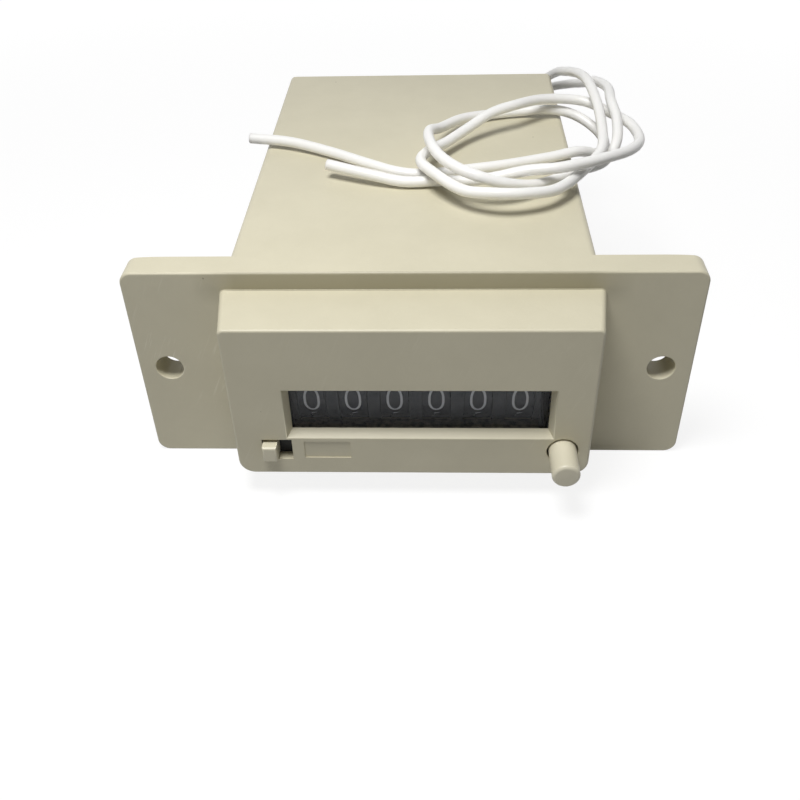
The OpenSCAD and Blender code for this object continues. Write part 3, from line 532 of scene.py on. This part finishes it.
def with_painted_corner_shade(tree, place, colour):
    """Painted shade in the corner above the bezel: darkest at the bezel's foot, thinning towards the
    flange's top edge.
    """
    part = add(tree, "ShaderNodeSeparateXYZ", {0: place})
    on_face = add(
        tree, "ShaderNodeMath", {0: part.outputs["Y"], 1: FLANGE_FRONT * MM, 2: CORNER_SKIN * MM},
        operation="COMPARE",
    )
    over_bezel = add(
        tree, "ShaderNodeMapRange", {0: part.outputs["Z"], 1: CORNER_FROM * MM, 2: CORNER_FULL * MM}
    )
    height = add(
        tree, "ShaderNodeMapRange",
        {
            0: part.outputs["Z"], 1: CORNER_FULL * MM, 2: CORNER_TOP * MM,
            3: CORNER_LOW_SHARE, 4: CORNER_TOP_SHARE,
        },
    )
    aside = add(tree, "ShaderNodeMath", {0: part.outputs["X"]}, operation="ABSOLUTE")
    inward = add(
        tree, "ShaderNodeMapRange",
        {0: aside.outputs[0], 1: CORNER_X * MM, 2: CORNER_END_X * MM, 3: 1.0, 4: 0.0},
    )
    share = height.outputs[0]
    for limit in (on_face, over_bezel, inward):
        share = add(tree, "ShaderNodeMath", {0: share, 1: limit.outputs[0]}, operation="MULTIPLY").outputs[0]
    mix = add(tree, "ShaderNodeMix", {0: share, 6: colour, 7: linear(CORNER_SHADE_COLOUR)}, data_type="RGBA")
    return mix.outputs[2]


def moulded_plastic(name, pale, dark, roughness, ior, grain_mm, depth_mm, specks=None, **surface):
    """Injection-moulded plastic: even colour, a satin sheen broken by the fine grain of the mould."""
    material, tree, shader, place = new_material(name, Roughness=roughness, IOR=ior, **surface)
    colour = mottled(tree, place, pale, dark, DRIFT_MM)
    # With a speck colour: dust specks, scuffs, and painted shade in the corner above the bezel
    if specks:
        colour = with_specks(tree, place, colour, specks)
        colour = with_scuffs(tree, place, colour)
        colour = with_painted_corner_shade(tree, place, colour)
    tree.links.new(colour, shader.inputs["Base Color"])
    grain = add(tree, "ShaderNodeTexNoise", {"Vector": place, "Scale": per(grain_mm), "Detail": 3.0})
    bump = add(
        tree, "ShaderNodeBump", {"Height": grain.outputs["Fac"], "Strength": 0.5, "Distance": depth_mm * MM}
    )
    tree.links.new(bump.outputs[0], shader.inputs["Normal"])
    return material


def worked_metal(name, pale, dark, roughness, stretch, line_mm):
    """Bare or plated metal: drawn, rolled or ground lines that stretch the highlight along them."""
    material, tree, shader, place = new_material(name, Metallic=1.0)
    lines = add(tree, "ShaderNodeMapping", {"Vector": place, "Scale": stretch})
    noise = add(
        tree, "ShaderNodeTexNoise", {"Vector": lines.outputs[0], "Scale": per(line_mm), "Detail": 5.0}
    )
    mix = add(
        tree, "ShaderNodeMix", {0: noise.outputs["Fac"], 6: linear(dark), 7: linear(pale)}, data_type="RGBA"
    )
    tree.links.new(mix.outputs[2], shader.inputs["Base Color"])
    spread = add(
        tree, "ShaderNodeMapRange", {0: noise.outputs["Fac"], 3: roughness - 0.08, 4: roughness + 0.1}
    )
    tree.links.new(spread.outputs[0], shader.inputs["Roughness"])
    return material


# ABS, moulded in a spark-eroded tool: beige, satin, with a few dust specks, scuffs, and painted shade in the
# corner above the bezel
beige_abs = moulded_plastic("beige ABS", "#CEC8B0", "#C9C3AB", 0.46, 1.53, 0.7, 0.045, "#6E6650")
# ABS of the button and the knob: paler, and polished by fingers
ivory_abs = moulded_plastic("ivory ABS", "#D9D3BD", "#D4CEB7", 0.4, 1.53, 0.9, 0.02, "#6E6650")
# ABS of the rear cover, from another batch: a little greyer
cover_abs = moulded_plastic("cover ABS", "#C5BFA8", "#BDB7A0", 0.48, 1.53, 0.45, 0.02)
# Polystyrene of the wheels: dark blue-grey, evenly satin
wheel_styrene = moulded_plastic(
    "wheel polystyrene", "#32363D", "#2D3138", 0.42, 1.59, 0.3, 0.006, Specular_IOR_Level=0.25
)
# Black mask moulding, dull, with settled dust in its mottling
mask_styrene = moulded_plastic(
    "mask polystyrene", "#2F3338", "#2A2E33", 0.5, 1.59, 0.5, 0.01, Specular_IOR_Level=0.25
)
# Acetal of the pinions, ratchet and spacers: milky white and slightly waxy
acetal = moulded_plastic("white acetal", "#E9E6DC", "#E0DDD2", 0.38, 1.48, 0.6, 0.005)
# Pad-printed ink of the figures: pale, thin and dull
figure_ink = moulded_plastic("figure ink", "#EEF1F6", "#DDE2EA", 0.55, 1.5, 0.25, 0.004)
# Soft PVC of the leads: white, smooth from the extruder, waxy, and milky enough to let light through
lead_pvc = moulded_plastic(
    "white PVC", "#F3F2EF", "#EEEDEA", 0.36, 1.53, 0.8, 0.004,
    Subsurface_Weight=0.7, Subsurface_Scale=1.5 * MM, Subsurface_Radius=(1, 1, 1),
)
# Rubber of the grommet: near black and dull
grommet_rubber = moulded_plastic("grommet rubber", "#2E2D2C", "#242322", 0.7, 1.52, 0.2, 0.01)
# Varnished paper round the winding: straw yellow with a soft gloss
wrap_paper = moulded_plastic("varnished paper", "#D9CB93", "#C9B97E", 0.35, 1.5, 0.9, 0.01)

# Zinc-plated steel sheet: pale blue-grey, faint rolling lines along the folds
zinc_sheet = worked_metal("zinc-plated sheet", "#B9BDC0", "#A3A8AC", 0.36, (1, 0.08, 1), 0.4)
# Ground steel of shafts and pins: bright, with rings round the shaft
ground_steel = worked_metal("ground steel", "#CDD0D2", "#B7BABD", 0.22, (1, 0.2, 0.2), 0.15)
# Spring wire: darker and smoother from drawing
spring_steel = worked_metal("spring wire", "#B4B6B9", "#9C9FA2", 0.28, (1, 1, 1), 0.3)
# Nickel-plated soft iron of the magnet: warm grey and soft in shine
nickel_iron = worked_metal("nickel-plated iron", "#BDB9B0", "#A8A49B", 0.34, (1, 0.3, 1), 0.8)
# Zinc-plated screws: duller, marked by the driver
zinc_screw = worked_metal("zinc-plated screw", "#A7A9AA", "#8B8E90", 0.38, (1, 1, 1), 0.25)
# Enamelled copper wire: reddish brown; turns drawn at 0.4 mm, coarser than real, so that they show
enamelled_copper = worked_metal("enamelled copper", "#B5693F", "#8C4B2A", 0.3, (0.1, 1, 0.1), 0.4)
# Tinned brass terminals
tinned_brass = worked_metal("tinned brass", "#CFCBB2", "#B9B59B", 0.3, (1, 1, 0.2), 0.3)

# The near-black colour at the mask's ends is painted shade, standing in for the shade by the window's sides
MASK_DUST, MASK_DUST_MM, MASK_END_SHADE = "#736D62", 0.9, "#0C0C0D"
MASK_MIDDLE_X, MASK_END_FROM, MASK_END_FULL = 1.1, 19.0, 19.5


def settle_mask_dust_and_end_shade():
    """Dust on the mask's upward faces, in patches about a millimetre wide, and painted shade, near black, at
    its ends beside the wheels.
    """
    tree = mask_styrene.node_tree
    shader = tree.nodes["Principled BSDF"]
    colour = shader.inputs["Base Color"].links[0].from_socket
    place = add(tree, "ShaderNodeTexCoord").outputs["Object"]
    along = add(tree, "ShaderNodeSeparateXYZ", {0: place})
    middle = add(
        tree, "ShaderNodeMath", {0: along.outputs["X"], 1: MASK_MIDDLE_X * MM}, operation="SUBTRACT"
    )
    outward = add(tree, "ShaderNodeMath", {0: middle.outputs[0]}, operation="ABSOLUTE")
    ends = add(
        tree, "ShaderNodeMapRange", {0: outward.outputs[0], 1: MASK_END_FROM * MM, 2: MASK_END_FULL * MM}
    )
    clean = add(
        tree, "ShaderNodeMix", {0: ends.outputs[0], 6: colour, 7: linear(MASK_END_SHADE)}, data_type="RGBA"
    )
    facing = add(tree, "ShaderNodeSeparateXYZ", {0: add(tree, "ShaderNodeNewGeometry").outputs["Normal"]})
    upward = add(tree, "ShaderNodeMapRange", {0: facing.outputs["Z"], 1: 0.6, 2: 0.95})
    patches = add(tree, "ShaderNodeTexNoise", {"Vector": place, "Scale": per(MASK_DUST_MM), "Detail": 6.0})
    patch = add(tree, "ShaderNodeMapRange", {0: patches.outputs["Fac"], 1: 0.3, 2: 0.6})
    share = add(tree, "ShaderNodeMath", {0: upward.outputs[0], 1: patch.outputs[0]}, operation="MULTIPLY")
    dusty = add(
        tree, "ShaderNodeMix", {0: share.outputs[0], 6: clean.outputs[2], 7: linear(MASK_DUST)},
        data_type="RGBA",
    )
    tree.links.new(dusty.outputs[2], shader.inputs["Base Color"])


settle_mask_dust_and_end_shade()

# Clear polystyrene window: a smooth plate that shows a weak image of the sill and table before it
window_clear, tree, shader, place = new_material(
    "clear polystyrene", IOR=1.59, Alpha=0.11, Roughness=0.05, Specular_IOR_Level=1.0
)
haze = mottled(tree, place, "#20262C", "#14181C", 9)
tree.links.new(haze, shader.inputs["Base Color"])

FINISHES = {
    window_clear: ["window_lens"],
    mask_styrene: ["wheel_mask", "lock_slide"],
    wheel_styrene: ["number_wheel_%d" % i for i in range(1, WHEELS + 1)],
    acetal: [
        *("transfer_pinion_%d" % i for i in range(1, WHEELS)),
        "drive_ratchet", "pinion_spacers", "coil_bobbin",
    ],
    zinc_sheet: ["frame", "reset_comb", "reset_arm", "drive_anchor"],
    ground_steel: ["wheel_axle", "pinion_axle", "reset_shaft", "armature_pin", "spring_post", "tie_rod"],
    spring_steel: ["comb_spring", "armature_spring"],
    nickel_iron: ["magnet_yoke", "magnet_core", "armature"],
    zinc_screw: ["core_screw", "tie_screws", "frame_screws", "cover_screws", "axle_clips"],
    enamelled_copper: ["coil_winding"],
    wrap_paper: ["coil_wrap"],
    tinned_brass: ["coil_terminals"],
    cover_abs: ["rear_cover"],
    grommet_rubber: ["lead_grommet"],
    lead_pvc: ["inner_leads"],
}


def dress(piece, material):
    piece.data.materials.clear()
    piece.data.materials.append(material)


for material, names in FINISHES.items():
    for name in names:
        dress(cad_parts[name], material)
dress(housing, beige_abs)
dress(spring, spring_steel)
for piece in (button, knob):
    dress(piece, ivory_abs)
for piece in figure_pieces:
    dress(piece, figure_ink)
for lead, core in leads.values():
    dress(lead, lead_pvc)
    dress(core, enamelled_copper)


# Floor and light: a white table under one broad lamp overhead

FLOOR_Z, FLOOR_SIZE = -18.03, 2500
FLOOR_BOUNCE = 0.47
# The table's own shade and glow under the lamp; further off it is plain white
TABLE_SHADE, TABLE_GLOW = 0.16, 0.86
TABLE_NEAR, TABLE_FAR = 80, 500
LAMP_AT, LAMP_AIM, LAMP_SIZE, LAMP_WATTS = (-38, -52, 235), (0, -20, 10), 105, 0.6
WORLD_LIGHT = 0.1
WHITE = (1, 1, 1, 1)


def shown_white(tree):
    """1 for the rays that see the background itself, directly, mirrored or through the window."""
    rays = add(tree, "ShaderNodeLightPath").outputs
    seen = rays["Is Camera Ray"]
    for kind in ("Is Glossy Ray", "Is Transmission Ray"):
        seen = add(tree, "ShaderNodeMath", {0: seen, 1: rays[kind]}, operation="MAXIMUM").outputs[0]
    return seen


floor_mesh = bmesh.new()
bmesh.ops.create_grid(
    floor_mesh, x_segments=1, y_segments=1, size=FLOOR_SIZE * MM,
    matrix=Matrix.Translation(metres(0, 0, FLOOR_Z)),
)
floor = finish_mesh("floor", floor_mesh)
floor_paper, tree, shader, place = new_material("white table", Roughness=0.9)
seen = shown_white(tree)
spread = add(tree, "ShaderNodeVectorMath", {0: place, 1: metres(*LAMP_AT[:2], 0)}, operation="DISTANCE")
far = add(
    tree, "ShaderNodeMapRange", {0: spread.outputs["Value"], 1: TABLE_NEAR * MM, 2: TABLE_FAR * MM},
    interpolation_type="SMOOTHSTEP",
)
paper = add(tree, "ShaderNodeMapRange", {0: far.outputs[0], 3: TABLE_SHADE, 4: 0.0})
white = add(tree, "ShaderNodeMapRange", {0: far.outputs[0], 3: TABLE_GLOW, 4: 1.0})
tone = add(tree, "ShaderNodeMix", {0: seen, 2: FLOOR_BOUNCE, 3: paper.outputs[0]})
glow = add(tree, "ShaderNodeMath", {0: seen, 1: white.outputs[0]}, operation="MULTIPLY")
tree.links.new(tone.outputs[0], shader.inputs["Base Color"])
tree.links.new(glow.outputs[0], shader.inputs["Emission Strength"])
shader.inputs["Emission Color"].default_value = WHITE
dress(floor, floor_paper)

world = bpy.data.worlds.new("studio")
scene.world = world
world.use_nodes = True
tree = world.node_tree
level = add(tree, "ShaderNodeMapRange", {0: shown_white(tree), 3: WORLD_LIGHT, 4: 1.0})
tree.links.new(level.outputs[0], tree.nodes["Background"].inputs["Strength"])
tree.nodes["Background"].inputs["Color"].default_value = WHITE


def lamp(name, place, aim, size_mm, watts):
    data = bpy.data.lights.new(name, "AREA")
    data.shape = "DISK"
    data.size = size_mm * MM
    data.energy = watts
    made = bpy.data.objects.new(name, data)
    made.location = metres(*place)
    made.rotation_euler = (metres(*aim) - made.location).to_track_quat("-Z", "Y").to_euler()
    scene.collection.objects.link(made)


lamp("overhead", LAMP_AT, LAMP_AIM, LAMP_SIZE, LAMP_WATTS)
